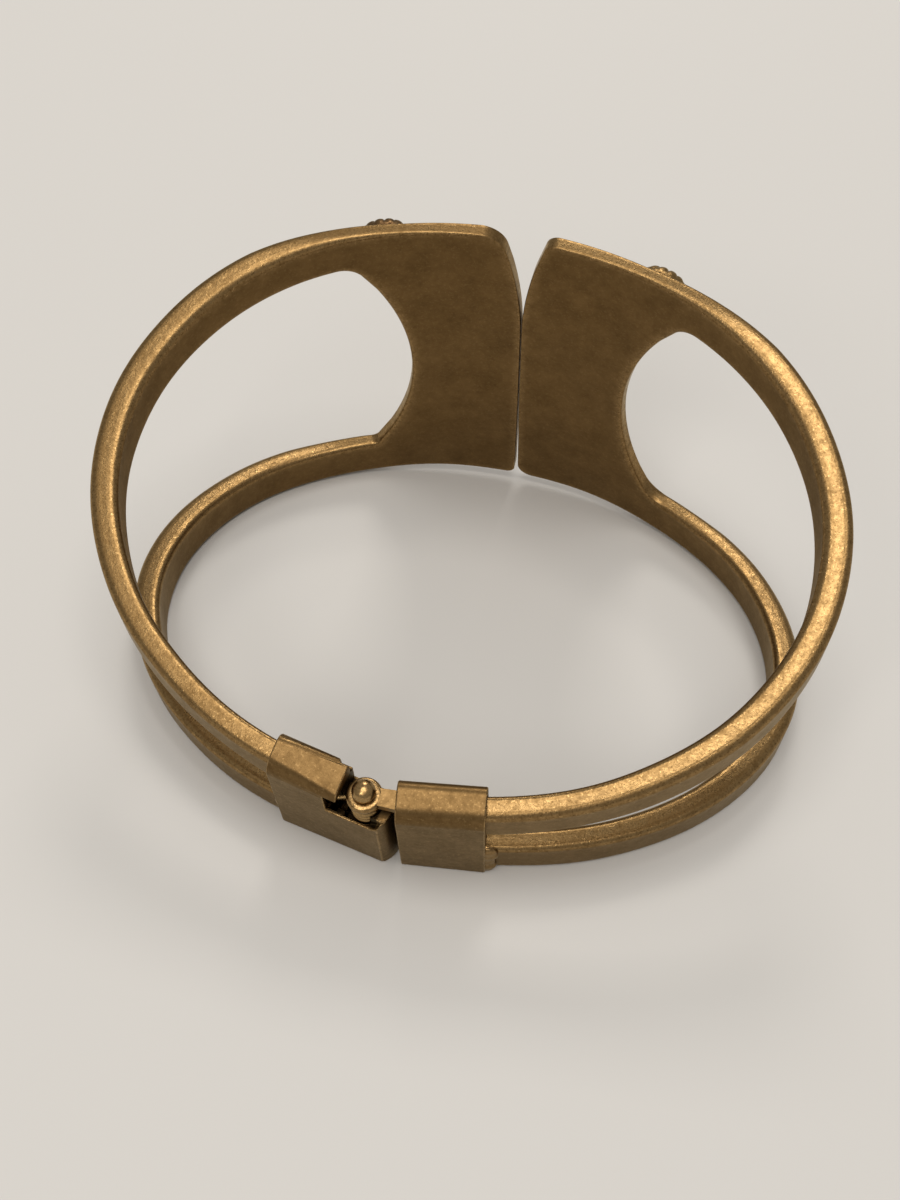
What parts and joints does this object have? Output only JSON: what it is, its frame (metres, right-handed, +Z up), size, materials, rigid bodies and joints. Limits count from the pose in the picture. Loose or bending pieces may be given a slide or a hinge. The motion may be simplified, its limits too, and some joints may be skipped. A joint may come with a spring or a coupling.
{
  "type": "hinged bangle bracelet",
  "caption": "Oval hinged bangle in aged brass: wide front plates fork into open rails, joined at the back by a boxed spring hinge.",
  "frame": {"origin": "middle of the base box, on the ground under the lower rim", "axes": "+X to the right with the hinge towards the viewer, +Y from the hinge to the plates, +Z up; the bangle lies on its lower rim"},
  "size_m": [0.064, 0.0554, 0.0379],
  "materials": {
    "aged_brass": "satin, darkened with age",
    "box_brass": "satin, darkened with age",
    "pin_brass": "turned, semi-polished",
    "spring_brass": "drawn wire",
    "ornament_brass": "satin, darkened with age"
  },
  "bodies": {
    "left_side": {"left_half": "aged_brass", "left_hinge_box": "box_brass", "hinge_pin": "pin_brass", "torsion_spring": "spring_brass", "left_ornament": "ornament_brass"},
    "right_side": {"right_half": "aged_brass", "right_hinge_box": "box_brass", "hinge_tongue": "pin_brass", "right_ornament": "ornament_brass"}
  },
  "joints": [
    {"name": "hinge_swing", "type": "hinge", "parent": "left_side", "child": "right_side", "pos_m": [-0.0024, -0.02442, 0.00601], "axis": [0, 0.2819, -0.9594], "range_deg": [0, 65], "stiffness_Nm_per_rad": 0.02, "springref_deg": -28.65, "deforming": ["torsion_spring"]}
  ]
}
